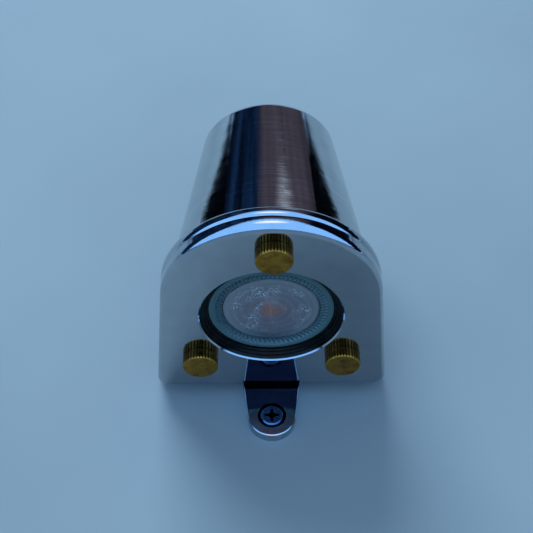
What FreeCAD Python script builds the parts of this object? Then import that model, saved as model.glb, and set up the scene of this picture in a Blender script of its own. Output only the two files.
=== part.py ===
"""Cast aluminium bulkhead light with a hooded body, a screwed cover plate and a GU10 lamp.

Frame: the mounting wall is the plane Z = 0 and +Z points away from it.  +Y runs back along
the hood from the cover plate's front face, which lies in Y = 0, and X = 0 is the plane of
symmetry.  Lengths are in millimetres.
"""
import FreeCAD, Part
import math
import os
import Sketcher

Vector = FreeCAD.Vector

# ---------------------------------------------------------------- driving dimensions

DIMENSIONS = {
    # cover plate and the outline that it shares with the body's flange
    "plate_thickness": 4.6,
    "outline_radius": 43.1,
    "outline_height": 62.1,
    "outline_foot_half": 47.7,
    "plate_foot": 4.5,
    "plate_corner": 5.0,
    "plate_edge_top": 3.8,
    "plate_edge_side": 1.3,
    "notch_half": 13.1,
    "notch_top": 7.2,
    "hole_radius": 28.4,
    "hole_chamfer": 0.5,
    # gasket and flange
    "gasket_thickness": 1.0,
    "gasket_inset": 0.7,
    "gasket_foot": 4.4,
    "flange_thickness": 5.3,
    "flange_edge": 2.2,
    "mouth_radius": 37.0,
    "mouth_height": 60.0,
    "mouth_half": 38.0,
    "mouth_foot": 7.5,
    # hood
    "hood_end": 91.5,
    "hood_front_radius": 40.0,
    "hood_front_height": 59.0,
    "hood_back_radius": 28.0,
    "hood_back_height": 52.4,
    "hood_end_edge": 4.0,
    "wall_thickness": 3.0,
    "floor_thickness": 4.0,
    "root_overlap": 1.0,
    "blind_skin": 1.0,
    # thumb screws and their bosses
    "top_screw_offset": 0.9,
    "top_screw_height": 90.1,
    "low_screw_offset": 29.0,
    "low_screw_height": 24.0,
    "boss_radius": 6.0,
    "boss_depth": 15.0,
    "boss_web": 8.5,
    "earth_boss_radius": 4.5,
    "thread_radius": 2.5,
    "fit_gap": 0.05,
    "knob_radius": 7.2,
    "knob_length": 4.7,
    "knob_edge": 0.5,
    "knurl_depth": 0.45,
    "knurl_count": 36,
    "shank_length": 17.0,
    "shank_point": 1.0,
    "washer_radius": 4.6,
    "washer_thickness": 1.2,
    "washer_clearance": 0.2,
    # lugs and wall screws
    "lug_thickness": 4.2,
    "lug_root_half": 12.7,
    "lug_tip_radius": 9.9,
    "lug_edge": 0.6,
    "front_lug_centre": -15.2,
    "back_lug_centre": 99.8,
    "recess_radius": 5.9,
    "recess_depth": 2.2,
    "wall_hole_radius": 2.3,
    "wall_screw_radius": 2.0,
    "plain_shank_radius": 2.2,
    "plain_shank_below": 0.4,
    "wall_screw_length": 22.0,
    "wall_head_radius": 4.8,
    "wall_head_height": 2.4,
    "wall_head_edge": 0.9,
    "screw_point": 1.2,
    "drive_depth": 1.4,
    "drive_arm": 3.0,
    "drive_half": 0.6,
    "drive_centre": 1.5,
    # lamp
    "lamp_height": 50.5,
    "lamp_front": 3.7,
    "lamp_radius": 25.0,
    "lens_radius": 19.2,
    "lens_thickness": 2.4,
    "lens_crown": 0.3,
    "lens_clearance": 0.1,
    "ledge_width": 1.2,
    "ledge_thickness": 1.5,
    "rim_depth": 3.0,
    "cup_curve": 60.0,
    "collar_thickness": 1.5,
    "seal_front": 0.9,
    "seal_inner_depth": 3.1,
    "seal_length": 12.0,
    "seal_outer": 28.32,
    "seal_clearance": 0.06,
    "seal_rib_width": 0.3,
    "seal_rib_height": 0.1,
    "seal_heel": 6.0,
    "seal_skirt": 1.4,
    "neck_radius": 12.6,
    "neck_position": 37.0,
    "base_end": 50.4,
    "base_wall": 1.6,
    "base_collar": 4.0,
    "base_floor": 2.5,
    "chip_board_position": 26.0,
    "chip_board_radius": 14.5,
    "chip_board_thickness": 1.2,
    "chip_ring": 7.0,
    "chip_half": 1.6,
    "chip_height": 0.8,
    "chip_count": 6,
    "driver_half": 8.0,
    "driver_front": 30.0,
    "driver_length": 15.0,
    "driver_board": 1.6,
    "driver_part_height": 4.0,
    "glass_wall": 1.6,
    "pin_spacing": 10.0,
    "pin_neck_radius": 1.6,
    "pin_head_radius": 2.5,
    "pin_length": 7.2,
    "pin_head_length": 2.8,
    # lampholder and bracket
    "holder_front": 51.0,
    "holder_back": 66.0,
    "holder_radius": 13.5,
    "slot_depth": 8.0,
    "slot_half": 5.0,
    "slot_clearance": 0.3,
    "contact_half": 2.0,
    "contact_length": 9.2,
    "contact_thickness": 0.7,
    "sheet_thickness": 1.5,
    "bracket_half": 12.0,
    "bracket_foot": 15.0,
    "bracket_bend": 2.5,
    "bracket_hole": 4.0,
    "bracket_screw_offset": 8.0,
    "bracket_screw_setback": 7.0,
    "holder_screw_offset": 9.5,
    "holder_screw_grip": 7.5,
    "screw_hole_gap": 0.1,
    "small_screw_radius": 1.5,
    "small_head_radius": 2.8,
    "small_head_height": 2.0,
    # wiring
    "grommet_position": 42.0,
    "grommet_hole": 7.0,
    "grommet_lip": 2.0,
    "grommet_lip_height": 1.8,
    "cable_radius": 3.6,
    "block_front": 16.0,
    "block_depth": 14.0,
    "block_half": 15.0,
    "block_height": 13.0,
    "pole_pitch": 10.0,
    "entry_radius": 2.6,
    "well_radius": 2.3,
    "sleeve_radius": 2.5,
    "sleeve_bore": 1.4,
    "sleeve_setback": 2.0,
    "terminal_screw_radius": 1.9,
    "terminal_screw_sunk": 0.65,
    "lead_radius": 1.0,
    "earth_offset": -20.0,
    "earth_position": 44.0,
    "earth_boss_height": 4.0,
    "tag_radius": 4.2,
    "tag_thickness": 0.8,
    "tag_tail_half": 1.5,
    "tag_length": 9.0,
}


class Size:
    """A size: its number now, and the sheet expression that drives it."""

    def __init__(self, value, text):
        self.value = value
        self.text = text

    def __add__(self, other):
        other = as_size(other)
        return Size(self.value + other.value, f"({self.text} + {other.text})")

    def __sub__(self, other):
        other = as_size(other)
        return Size(self.value - other.value, f"({self.text} - {other.text})")

    def __mul__(self, other):
        other = as_size(other)
        return Size(self.value * other.value, f"({self.text} * {other.text})")

    def __truediv__(self, other):
        other = as_size(other)
        return Size(self.value / other.value, f"({self.text} / {other.text})")

    def __neg__(self):
        return Size(-self.value, f"(-{self.text})")

    def __radd__(self, other):
        return as_size(other) + self

    def __rsub__(self, other):
        return as_size(other) - self

    __rmul__ = __mul__


def as_size(number):
    return number if isinstance(number, Size) else Size(number, f"({number})")


class Sheet:
    """The driving dimensions as attributes, each one a Size bound to its cell."""

    def __init__(self, document, dimensions):
        cells = document.addObject("Spreadsheet::Sheet", "dims")
        for row, (alias, value) in enumerate(dimensions.items(), start=1):
            cells.set(f"A{row}", alias)
            cells.set(f"B{row}", str(value))
            cells.setAlias(f"B{row}", alias)
            setattr(self, alias, Size(value, f"dims.{alias}"))


doc = FreeCAD.newDocument("bulkhead_light")
dim = Sheet(doc, DIMENSIONS)
doc.recompute()
finished = []

# ---------------------------------------------------------------- helpers


def bind(feature, path, size):
    """Drive one property from the sheet."""
    feature.setExpression(path, as_size(size).text)


def new_body(label, x=0, y=0, z=0):
    """A named piece; x, y, z place it in the light's frame."""
    body = doc.addObject("PartDesign::Body", label)
    body.Label = label
    finished.append(body)
    for axis, size in zip("xyz", (x, y, z)):
        if as_size(size).value:
            bind(body, f"Placement.Base.{axis}", size)
    return body


def new_sketch(body, role, offset=0):
    """A sketch on one of the body's own origin planes, moved along its normal."""
    sketch = body.newObject("Sketcher::SketchObject", f"{body.Name}_{role[:2]}")
    plane = next(item for item in body.Origin.OriginFeatures if item.Role == role)
    sketch.AttachmentSupport = [(plane, "")]
    sketch.MapMode = "FlatFace"
    bind(sketch, "AttachmentOffset.Base.z", offset)
    return sketch


def cross_sketch(body, y):
    """A sketch across the hood at Y = y: its x is X and its y is Z."""
    return new_sketch(body, "XZ_Plane", -as_size(y))


def dimension(sketch, constraint, size):
    """Add a sized constraint and drive its value from the sheet."""
    index = sketch.addConstraint(constraint)
    sketch.setExpression(f"Constraints[{index}]", as_size(size).text)


def pin(sketch, curve, point, x, y):
    """Hold one point of a sketch at x, y."""
    for kind, axis_line, size in (("DistanceX", -2, as_size(x)), ("DistanceY", -1, as_size(y))):
        if size.value:
            dimension(sketch, Sketcher.Constraint(kind, curve, point, size.value), size)
        else:
            sketch.addConstraint(Sketcher.Constraint("PointOnObject", curve, point, axis_line))


def circle(sketch, x, y, radius):
    radius = as_size(radius)
    centre = Vector(as_size(x).value, as_size(y).value, 0)
    curve = sketch.addGeometry(Part.Circle(centre, Vector(0, 0, 1), radius.value))
    dimension(sketch, Sketcher.Constraint("Radius", curve, radius.value), radius)
    pin(sketch, curve, 3, x, y)


def arc_between(start, end, radius):
    """The shorter arc from start to end; a positive radius puts its centre on the left."""
    chord = end - start
    middle = (start + end) * 0.5
    left = Vector(-chord.y, chord.x, 0).normalize()
    rise = math.sqrt(radius ** 2 - (chord.Length / 2) ** 2)
    centre = middle + left * math.copysign(rise, radius)
    outward = (middle - centre).normalize()
    return Part.Arc(start, centre + outward * abs(radius), end)


def outline(sketch, corners):
    """A closed outline; a corner (x, y, radius) is reached by an arc instead of a line."""
    points = [Vector(as_size(c[0]).value, as_size(c[1]).value, 0) for c in corners]
    curves = []
    for index, corner in enumerate(corners):
        start = points[index - 1]
        if len(corner) == 3:
            radius = as_size(corner[2])
            curve = sketch.addGeometry(arc_between(start, points[index], radius.value))
            size = Size(abs(radius.value), f"abs({radius.text})")
            dimension(sketch, Sketcher.Constraint("Radius", curve, size.value), size)
            reverse = radius.value < 0
        else:
            curve = sketch.addGeometry(Part.LineSegment(start, points[index]))
            reverse = False
        curves.append((curve, 2 if reverse else 1, 1 if reverse else 2))
    for index, corner in enumerate(corners):
        curve, _, end = curves[index]
        following, start, _ = curves[(index + 1) % len(corners)]
        sketch.addConstraint(Sketcher.Constraint("Coincident", curve, end, following, start))
        pin(sketch, curve, end, corner[0], corner[1])


def rectangle(sketch, left, right, low, high):
    outline(sketch, [(left, low), (right, low), (right, high), (left, high)])


def d_outline(sketch, radius, height, foot_half, foot, outward=1):
    """An arched outline: sides tangent to a round end, and a flat foot; outward -1 turns it over."""
    radius, height = as_size(radius), as_size(height)
    foot_half, foot = as_size(foot_half), as_size(foot)
    centre = Vector(0, height.value, 0)
    arch = Part.Circle(centre, Vector(0, 0, 1), radius.value)
    quarter = math.pi / 2 * outward
    right = sketch.addGeometry(Part.ArcOfCircle(arch, *sorted((0, quarter))))
    left = sketch.addGeometry(Part.ArcOfCircle(arch, *sorted((math.pi, math.pi - quarter))))
    first, second = (1, 2) if outward > 0 else (2, 1)
    feet = [Vector(side * foot_half.value, foot.value, 0) for side in (1, -1)]
    shoulders = [centre + Vector(side * radius.value, 0, 0) for side in (1, -1)]
    right_side = sketch.addGeometry(Part.LineSegment(feet[0], shoulders[0]))
    left_side = sketch.addGeometry(Part.LineSegment(shoulders[1], feet[1]))
    sill = sketch.addGeometry(Part.LineSegment(feet[1], feet[0]))
    sketch.addConstraint(Sketcher.Constraint("Coincident", right, 3, left, 3))
    sketch.addConstraint(Sketcher.Constraint("Coincident", right, second, left, first))
    sketch.addConstraint(Sketcher.Constraint("PointOnObject", right, second, -2))
    sketch.addConstraint(Sketcher.Constraint("Tangent", right_side, 2, right, first))
    sketch.addConstraint(Sketcher.Constraint("Tangent", left, second, left_side, 1))
    sketch.addConstraint(Sketcher.Constraint("Coincident", left_side, 2, sill, 1))
    sketch.addConstraint(Sketcher.Constraint("Coincident", sill, 2, right_side, 1))
    dimension(sketch, Sketcher.Constraint("Radius", right, radius.value), radius)
    pin(sketch, right, 3, 0, height)
    pin(sketch, right_side, 1, foot_half, foot)
    pin(sketch, left_side, 2, -foot_half, foot)


def settle(feature):
    """Recompute, and stop at the first feature that fails."""
    doc.recompute()
    if "Invalid" in feature.State or feature.Shape.isNull() or not feature.Shape.isValid():
        raise RuntimeError(f"{feature.Name} failed: {feature.getStatusString()}")
    return feature


def pad(body, sketch, length, backwards=False):
    """Raise a sketch along its normal, or against it."""
    feature = body.newObject("PartDesign::Pad", f"{body.Name}_pad")
    feature.Profile = sketch
    feature.Reversed = backwards
    bind(feature, "Length", length)
    return settle(feature)


def pocket(body, sketch, length, backwards=False):
    """Cut a sketch against its normal, or along it, and make sure that it removes metal."""
    before = body.Shape.Volume
    feature = body.newObject("PartDesign::Pocket", f"{body.Name}_pocket")
    feature.Profile = sketch
    feature.Reversed = backwards
    bind(feature, "Length", length)
    settle(feature)
    if not feature.Shape.Volume < before:
        raise RuntimeError(f"{feature.Name} cuts nothing")
    return feature


def turn(body, sketch):
    """Revolve a sketch on the XY plane round the body's Y axis."""
    feature = body.newObject("PartDesign::Revolution", f"{body.Name}_turn")
    feature.Profile = sketch
    feature.ReferenceAxis = (sketch, ["V_Axis"])
    feature.Angle = 360
    return settle(feature)


def turned_piece(label, profile, x=0, y=0, z=0):
    """A piece turned round an axis along Y, from (radius, distance back) corners."""
    body = new_body(label, x, y, z)
    sketch = new_sketch(body, "XY_Plane")
    outline(sketch, profile)
    turn(body, sketch)
    return body


def edge_names(feature, wanted):
    """Names of the edges whose middle point passes the test."""
    names = []
    for index, edge in enumerate(feature.Shape.Edges, start=1):
        middle = edge.valueAt((edge.FirstParameter + edge.LastParameter) / 2)
        if wanted(edge, middle):
            names.append(f"Edge{index}")
    return names


def dress(body, kind, base, names, size):
    """A fillet or chamfer on named edges."""
    feature = body.newObject(f"PartDesign::{kind}", f"{body.Name}_{kind.lower()}")
    feature.Base = (base, names)
    bind(feature, "Radius" if kind == "Fillet" else "Size", size)
    return settle(feature)


def near(a, b):
    return abs(a - b) < 0.02


# ---------------------------------------------------------------- shared positions

PLATE_BACK = dim.plate_thickness
FLANGE_FRONT = PLATE_BACK + dim.gasket_thickness
FLANGE_BACK = FLANGE_FRONT + dim.flange_thickness
HOOD_INNER_END = dim.hood_end - dim.wall_thickness
FLOOR = dim.floor_thickness
SCREW_PLACES = {
    "top": (dim.top_screw_offset, dim.top_screw_height),
    "left": (-dim.low_screw_offset, dim.low_screw_height),
    "right": (dim.low_screw_offset, dim.low_screw_height),
}
BRACKET_SCREW_POSITION = dim.holder_back - dim.bracket_screw_setback

# ---------------------------------------------------------------- housing


def hood_section(body, y, inset, foot):
    """One arched section of the tapered hood, set in from its outer skin."""
    share = (as_size(y) - FLANGE_BACK) / (dim.hood_end - FLANGE_BACK)
    radius = dim.hood_front_radius + (dim.hood_back_radius - dim.hood_front_radius) * share
    height = dim.hood_front_height + (dim.hood_back_height - dim.hood_front_height) * share
    sketch = cross_sketch(body, y)
    d_outline(sketch, radius - inset, height, radius - inset, foot)
    return sketch


def loft(body, kind, first, last):
    feature = body.newObject(f"PartDesign::{kind}", f"{body.Name}_{kind.lower()}")
    feature.Profile = first
    feature.Sections = [last]
    feature.Ruled = True
    return settle(feature)


def lug(body, root, centre, outward):
    """A flat mounting ear with a round tip and a softened upper edge."""
    sketch = new_sketch(body, "XY_Plane")
    d_outline(sketch, dim.lug_tip_radius, centre, dim.lug_root_half, root, outward)
    plate = pad(body, sketch, dim.lug_thickness)
    rim = edge_names(plate, lambda edge, p: near(p.z, dim.lug_thickness.value)
                     and (p.y - root.value) * outward > 0.5)
    dress(body, "Fillet", plate, rim, dim.lug_edge)


def build_housing():
    body = new_body("housing")
    lug(body, FLANGE_FRONT + dim.root_overlap, dim.front_lug_centre, -1)
    lug(body, dim.hood_end - dim.root_overlap, dim.back_lug_centre, 1)

    flange_sketch = cross_sketch(body, FLANGE_FRONT)
    d_outline(flange_sketch, dim.outline_radius, dim.outline_height, dim.outline_foot_half, 0)
    flange = pad(body, flange_sketch, dim.flange_thickness, backwards=True)
    rims = edge_names(flange, lambda edge, p: p.z > dim.lug_thickness.value + 0.1
                      and (near(p.y, FLANGE_FRONT.value) or near(p.y, FLANGE_BACK.value)))
    dress(body, "Fillet", flange, rims, dim.flange_edge)

    first = hood_section(body, FLANGE_BACK - dim.root_overlap, 0, 0)
    last = hood_section(body, dim.hood_end, 0, 0)
    hood = loft(body, "AdditiveLoft", first, last)
    end_rim = edge_names(hood, lambda edge, p: near(p.y, dim.hood_end.value)
                         and p.z > dim.lug_thickness.value + 0.1)
    dress(body, "Fillet", hood, end_rim, dim.hood_end_edge)

    mouth = cross_sketch(body, FLANGE_FRONT)
    d_outline(mouth, dim.mouth_radius, dim.mouth_height, dim.mouth_half, dim.mouth_foot)
    pocket(body, mouth, dim.flange_thickness)
    before = body.Shape.Volume
    loft(body, "SubtractiveLoft",
         hood_section(body, FLANGE_BACK, dim.wall_thickness, FLOOR),
         hood_section(body, HOOD_INNER_END, dim.wall_thickness, FLOOR))
    if not body.Shape.Volume < before:
        raise RuntimeError("the hood was not hollowed")

    add_bosses(body)
    drill_housing(body)
    return body


def add_bosses(body):
    """Three bosses with webs out to the wall for the thumb screws, and one for the earth screw."""
    radius = dim.boss_radius
    for place, (x, z) in SCREW_PLACES.items():
        sketch = cross_sketch(body, FLANGE_FRONT)
        if place != "top":
            side = math.copysign(1, x.value)
            wall = x + dim.boss_web * side
            bend = radius * side
            outline(sketch, [(wall, z - radius), (wall, z + radius), (x, z + radius),
                             (x - bend, z, bend), (x, z - radius, bend)])
        else:
            wall = z + radius
            outline(sketch, [(x + radius, wall), (x - radius, wall), (x - radius, z),
                             (x, z - radius, radius), (x + radius, z, radius)])
        pad(body, sketch, dim.boss_depth, backwards=True)
    earth = new_sketch(body, "XY_Plane")
    circle(earth, dim.earth_offset, dim.earth_position, dim.earth_boss_radius)
    pad(body, earth, FLOOR + dim.earth_boss_height)


def drill_housing(body):
    """Tapped screw holes, the screw recesses in the lugs and the cable hole in the back wall."""
    lug_tops = {
        dim.wall_hole_radius: dim.lug_thickness,
        dim.recess_radius: dim.recess_depth,
    }
    for radius, depth in lug_tops.items():
        sketch = new_sketch(body, "XY_Plane", dim.lug_thickness)
        for centre in (dim.front_lug_centre, dim.back_lug_centre):
            circle(sketch, 0, centre, radius)
        pocket(body, sketch, depth)

    threads = cross_sketch(body, FLANGE_FRONT)
    for x, z in SCREW_PLACES.values():
        circle(threads, x, z, dim.thread_radius)
    pocket(body, threads, dim.boss_depth - dim.blind_skin)

    cable = new_sketch(body, "XY_Plane", FLOOR)
    circle(cable, 0, dim.grommet_position, dim.grommet_hole)
    pocket(body, cable, FLOOR)

    bracket = new_sketch(body, "XY_Plane", FLOOR)
    for side in (1, -1):
        circle(bracket, dim.bracket_screw_offset * side, BRACKET_SCREW_POSITION, dim.small_screw_radius)
    pocket(body, bracket, FLOOR - dim.blind_skin)

    earth = new_sketch(body, "XY_Plane", FLOOR + dim.earth_boss_height)
    circle(earth, dim.earth_offset, dim.earth_position, dim.small_screw_radius)
    pocket(body, earth, FLOOR + dim.earth_boss_height - dim.blind_skin)


build_housing()

# ---------------------------------------------------------------- cover plate and gasket


def build_cover_plate():
    """The screwed front plate: its edge is rounded most at the top and least at the sides."""
    body = new_body("cover_plate")
    sketch = cross_sketch(body, 0)
    d_outline(sketch, dim.outline_radius, dim.outline_height, dim.outline_foot_half, dim.plate_foot)
    blank = pad(body, sketch, dim.plate_thickness, backwards=True)
    corners = edge_names(blank, lambda edge, p: near(p.z, dim.plate_foot.value)
                         and near(abs(p.x), dim.outline_foot_half.value))
    dress(body, "Fillet", blank, corners, dim.plate_corner)

    notch = cross_sketch(body, 0)
    rectangle(notch, -dim.notch_half, dim.notch_half, 0, dim.notch_top)
    pocket(body, notch, dim.plate_thickness)

    holes = cross_sketch(body, 0)
    circle(holes, 0, dim.lamp_height, dim.hole_radius)
    for x, z in SCREW_PLACES.values():
        circle(holes, x, z, dim.thread_radius)
    drilled = pocket(body, holes, dim.plate_thickness)
    mouth = edge_names(drilled, lambda edge, p: near(p.y, 0)
                       and isinstance(edge.Curve, Part.Circle)
                       and near(edge.Curve.Radius, dim.hole_radius.value))
    dress(body, "Chamfer", drilled, mouth, dim.hole_chamfer)

    recesses = cross_sketch(body, 0)
    for x, z in SCREW_PLACES.values():
        circle(recesses, x, z, dim.washer_radius + dim.washer_clearance)
    pocket(body, recesses, dim.washer_thickness)
    round_front_edge(body)


def round_front_edge(body):
    """Swell the front edge's rounding from the sides up to the crown."""
    body.Label = "cover_plate_blank"
    finished.remove(body)
    piece = doc.addObject("Part::Fillet", "cover_plate_rounded")
    piece.Label = "cover_plate"
    piece.Base = body
    side, crown = dim.plate_edge_side.value, dim.plate_edge_top.value
    edges = []
    for index, edge in enumerate(body.Shape.Edges, start=1):
        first, last = edge.firstVertex().Point, edge.lastVertex().Point
        if not (near(first.y, 0) and near(last.y, 0)) or first.distanceToPoint(last) < 1.0:
            continue
        if isinstance(edge.Curve, Part.Circle) and near(edge.Curve.Radius, dim.outline_radius.value):
            start, end = (edge.valueAt(edge.FirstParameter), edge.valueAt(edge.LastParameter))
            edges.append((index, crown if near(start.x, 0) else side,
                          crown if near(end.x, 0) else side))
        elif min(abs(first.x), abs(last.x)) > dim.outline_radius.value - 3.0:
            edges.append((index, side, side))
    piece.Edges = edges
    settle(piece)
    finished.append(piece)


def build_gasket():
    body = new_body("cover_gasket")
    ring = cross_sketch(body, PLATE_BACK)
    d_outline(ring, dim.outline_radius - dim.gasket_inset, dim.outline_height,
              dim.outline_foot_half - dim.gasket_inset, dim.gasket_foot)
    pad(body, ring, dim.gasket_thickness, backwards=True)
    opening = cross_sketch(body, PLATE_BACK)
    d_outline(opening, dim.mouth_radius, dim.mouth_height, dim.mouth_half, dim.mouth_foot)
    pocket(body, opening, dim.gasket_thickness)


build_cover_plate()
build_gasket()

# ---------------------------------------------------------------- thumb screws


def build_thumb_screw(place, x, z):
    """A knurled brass knob on an M5 shank; its sealing washer sits in the plate's recess."""
    body = new_body(f"thumb_screw_{place}", x=x, z=z)
    shank = dim.thread_radius - dim.fit_gap
    sketch = new_sketch(body, "XY_Plane")
    head, edge = dim.knob_radius, dim.knob_edge
    outline(sketch, [
        (0, -dim.knob_length), (head - edge, -dim.knob_length), (head, edge - dim.knob_length),
        (head, -edge), (head - edge, 0), (shank, 0), (shank, dim.shank_length - dim.shank_point),
        (shank - dim.shank_point, dim.shank_length), (0, dim.shank_length),
    ])
    turn(body, sketch)
    groove = cross_sketch(body, -dim.knob_length)
    half, outside = dim.knurl_depth, head + dim.fit_gap
    outline(groove, [(-half, outside), (0, head - dim.knurl_depth), (half, outside)])
    first = pocket(body, groove, dim.knob_length)
    pattern = body.newObject("PartDesign::PolarPattern", f"{body.Name}_knurl")
    pattern.Originals = [first]
    pattern.Axis = (groove, ["N_Axis"])
    pattern.Angle = 360
    bind(pattern, "Occurrences", dim.knurl_count)
    body.Tip = pattern
    settle(pattern)

    washer_inner = dim.thread_radius + dim.screw_hole_gap
    turned_piece(f"screw_washer_{place}", [
        (washer_inner, dim.fit_gap), (dim.washer_radius, dim.fit_gap),
        (dim.washer_radius, dim.washer_thickness), (washer_inner, dim.washer_thickness),
    ], x=x, z=z)


for screw_place, (screw_x, screw_z) in SCREW_PLACES.items():
    build_thumb_screw(screw_place, screw_x, screw_z)

# ---------------------------------------------------------------- lamp

NECK = dim.neck_position
LENS_BACK = dim.lamp_front + dim.lens_clearance + dim.lens_crown + dim.lens_thickness


def build_lamp():
    """A GU10 reflector lamp: glass cup, lens, chip board, driver board, base and two pins."""
    height = dim.lamp_height
    build_reflector(height)
    lens_front = dim.lamp_front + dim.lens_clearance
    turned_piece("lamp_lens", [
        (0, lens_front), (dim.lens_radius, lens_front + dim.lens_crown),
        (dim.lens_radius, LENS_BACK), (0, LENS_BACK),
    ], z=height)
    board_back = dim.chip_board_position + dim.chip_board_thickness
    turned_piece("lamp_chip_board", [
        (0, dim.chip_board_position), (dim.chip_board_radius, dim.chip_board_position),
        (dim.chip_board_radius, board_back), (0, board_back),
    ], z=height)
    build_chips(height)
    build_lamp_base(height)
    build_pins(height)
    build_driver_board(height)


def build_reflector(height):
    """The pressed glass cup, with a ledge inside its rim that the lens sits on."""
    front, rim, wall = dim.lamp_front, dim.lamp_radius, dim.glass_wall
    seat = dim.lens_radius + dim.lens_clearance
    ledge, ledge_front = seat - dim.ledge_width, LENS_BACK + dim.lens_clearance
    ledge_back = ledge_front + dim.ledge_thickness
    collar = dim.neck_radius + dim.collar_thickness
    turned_piece("lamp_reflector", [
        (seat, front), (rim, front), (rim, front + dim.rim_depth),
        (collar, NECK, dim.cup_curve), (collar - wall, NECK),
        (rim - wall * 2, ledge_back, -dim.cup_curve), (ledge, ledge_back),
        (ledge, ledge_front), (seat, ledge_front),
    ], z=height)


def build_chips(height):
    """Square light-emitting chips in a ring on the front of their board."""
    body = new_body("lamp_chips", z=height)
    sketch = cross_sketch(body, dim.chip_board_position - dim.chip_height)
    half = dim.chip_half
    count = int(dim.chip_count.value)
    for index in range(count):
        angle = 2 * math.pi * index / count
        x, z = dim.chip_ring * math.cos(angle), dim.chip_ring * math.sin(angle)
        rectangle(sketch, x - half, x + half, z - half, z + half)
    pad(body, sketch, dim.chip_height, backwards=True)


def build_lamp_base(height):
    """The insulating base: a collar round the cup's neck, and a hollow stub for the pins."""
    neck, wall, end = dim.neck_radius, dim.base_wall, dim.base_end
    collar_end, floor = NECK + dim.base_collar, dim.base_end - dim.base_floor
    turned_piece("lamp_base", [
        (neck, NECK), (neck + wall, NECK), (neck + wall, collar_end), (neck - wall / 2, floor),
        (neck - wall, end), (0, end), (0, floor), (neck - wall * 2, floor),
        (neck - wall, collar_end), (neck, collar_end - wall),
    ], z=height)


def build_pins(height):
    """Two pins with round heads, which lock in the lampholder after an eighth of a turn."""
    body = new_body("lamp_pins", z=height)
    neck_length = dim.pin_length - dim.pin_head_length
    necks = cross_sketch(body, dim.base_end)
    heads = cross_sketch(body, dim.base_end + neck_length)
    for side in (1, -1):
        circle(necks, dim.pin_spacing / 2 * side, 0, dim.pin_neck_radius)
        circle(heads, dim.pin_spacing / 2 * side, 0, dim.pin_head_radius)
    pad(body, necks, neck_length, backwards=True)
    pad(body, heads, dim.pin_head_length, backwards=True)


def build_driver_board(height):
    """A board along the lamp's axis with a capacitor block and a coil block on one face."""
    body = new_body("lamp_driver_board", z=height)
    half, front, length = dim.driver_half, dim.driver_front, dim.driver_length
    board = new_sketch(body, "XY_Plane", -dim.driver_board / 2)
    rectangle(board, -half, half, front, front + length)
    pad(body, board, dim.driver_board)
    parts = new_sketch(body, "XY_Plane", dim.driver_board / 2)
    rectangle(parts, -half * 0.7, half * 0.1, front + length * 0.1, front + length * 0.55)
    rectangle(parts, half * 0.25, half * 0.75, front + length * 0.25, front + length * 0.85)
    pad(body, parts, dim.driver_part_height)


def build_seal():
    """The ribbed rubber ring that centres the lamp in the cover plate's hole."""
    inner, outer = dim.lamp_radius + dim.seal_clearance, dim.seal_outer
    front, back = dim.seal_front, dim.seal_front + dim.seal_length
    steps, rib, lip = 3, dim.seal_rib_height, dim.seal_rib_width
    tread = (outer - inner) / steps
    rise = (dim.seal_inner_depth - rib) / steps
    cone = [(inner, back - dim.seal_heel), (inner, front + rise * steps)]
    for step in range(1, steps + 1):
        edge, depth = inner + tread * step, front + rise * (steps - step)
        cone += [(edge - lip, depth + rise - rib), (edge, depth + (rib if step < steps else lip))]
    skirt = inner + dim.seal_skirt
    turned_piece("lamp_seal", cone + [
        (outer, back), (skirt, back), (skirt, back - dim.seal_heel + dim.seal_skirt / 2),
    ], z=dim.lamp_height)


build_lamp()
build_seal()

# ---------------------------------------------------------------- lampholder and bracket

HOLDER_BOTTOM = dim.lamp_height - dim.holder_radius


def build_holder():
    """The ceramic lampholder: a round block with two wide slots for the lamp's pins."""
    body = new_body("lampholder", z=dim.lamp_height)
    disc = cross_sketch(body, dim.holder_front)
    circle(disc, 0, 0, dim.holder_radius)
    pad(body, disc, dim.holder_back - dim.holder_front, backwards=True)
    slots = cross_sketch(body, dim.holder_front)
    slot_half = dim.pin_head_radius + dim.slot_clearance
    for side in (1, -1):
        middle = dim.pin_spacing / 2 * side
        sides = sorted((middle - slot_half, middle + slot_half), key=lambda size: size.value)
        rectangle(slots, sides[0], sides[1], -dim.slot_half, dim.slot_half)
    pocket(body, slots, dim.slot_depth)
    screws = cross_sketch(body, dim.holder_back)
    for side in (1, -1):
        circle(screws, 0, dim.holder_screw_offset * side, dim.small_screw_radius)
    pocket(body, screws, dim.holder_screw_grip + dim.fit_gap * 2, backwards=True)


def build_contacts():
    """A sprung brass contact at the bottom of each slot."""
    body = new_body("lampholder_contacts", z=dim.lamp_height)
    floor = dim.holder_front + dim.slot_depth
    sketch = cross_sketch(body, floor - dim.contact_thickness)
    half, reach = dim.contact_half, dim.contact_length / 2
    for side in (1, -1):
        middle = dim.pin_spacing / 2 * side
        sides = sorted((middle - half, middle + half), key=lambda size: size.value)
        rectangle(sketch, sides[0], sides[1], -reach, reach)
    pad(body, sketch, dim.contact_thickness, backwards=True)


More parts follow.
